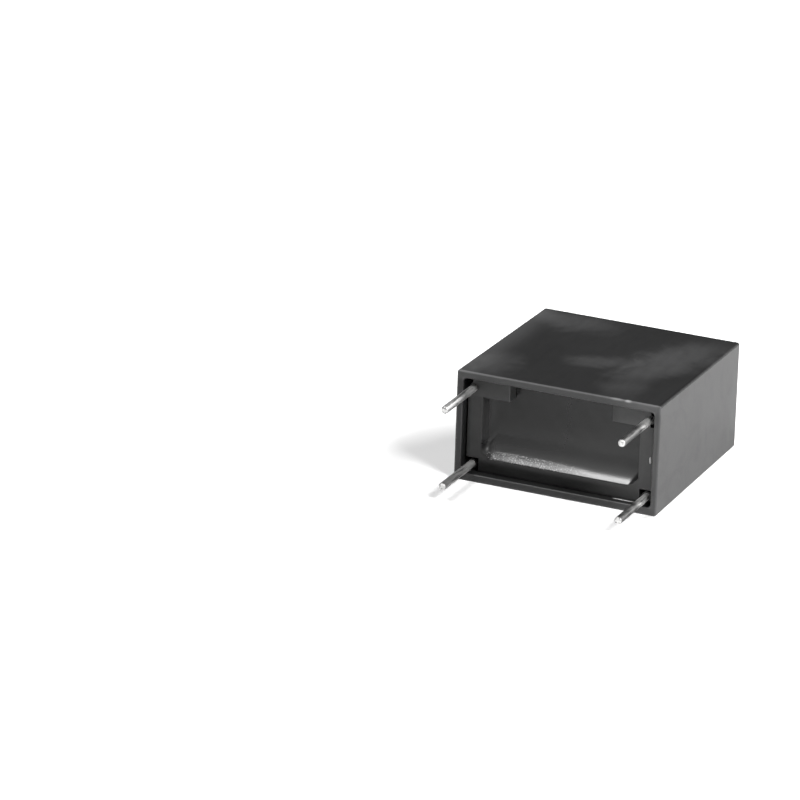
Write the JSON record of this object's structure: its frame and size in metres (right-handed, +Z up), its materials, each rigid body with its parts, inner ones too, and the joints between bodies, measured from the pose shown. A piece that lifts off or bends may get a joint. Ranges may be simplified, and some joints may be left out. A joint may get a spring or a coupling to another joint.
{
  "type": "pcb transformer",
  "caption": "Small resin-cast transformer in a moulded rectangular case, open on the pin side, with round pins near the corners of a recessed frame.",
  "frame": {"origin": "middle of the case's open rim, on the seating plane", "axes": "+Z up through the case's thickness as it lies on a broad side, +X along its width, -Y the way the pins point"},
  "size_m": [0.019, 0.0245, 0.01],
  "materials": {
    "case_plastic": "satin moulded",
    "frame_plastic": "satin moulded",
    "resin": "cast, glossy",
    "tinned_wire": "tinned, drawn",
    "bobbin_plastic": "moulded",
    "enamelled_copper": "enamelled wire",
    "tape": "polyester film",
    "core_steel": "rolled sheet",
    "solder": "bright solder"
  },
  "bodies": {
    "root": {"case": "case_plastic", "pin_carrier": "frame_plastic", "resin": "resin", "pin_1": "tinned_wire", "pin_2": "tinned_wire", "pin_3": "tinned_wire", "pin_4": "tinned_wire", "bobbin": "bobbin_plastic", "primary_winding": "enamelled_copper", "secondary_winding": "enamelled_copper", "primary_tape": "tape", "secondary_tape": "tape", "e_lamination_1": "core_steel", "e_lamination_2": "core_steel", "e_lamination_3": "core_steel", "e_lamination_4": "core_steel", "e_lamination_5": "core_steel", "e_lamination_6": "core_steel", "e_lamination_7": "core_steel", "e_lamination_8": "core_steel", "e_lamination_9": "core_steel", "i_lamination_1": "core_steel", "i_lamination_2": "core_steel", "i_lamination_3": "core_steel", "i_lamination_4": "core_steel", "i_lamination_5": "core_steel", "i_lamination_6": "core_steel", "i_lamination_7": "core_steel", "i_lamination_8": "core_steel", "i_lamination_9": "core_steel", "lead_1": "enamelled_copper", "lead_2": "enamelled_copper", "lead_3": "enamelled_copper", "lead_4": "enamelled_copper", "solder_1": "solder", "solder_2": "solder", "solder_3": "solder", "solder_4": "solder"}
  },
  "joints": []
}
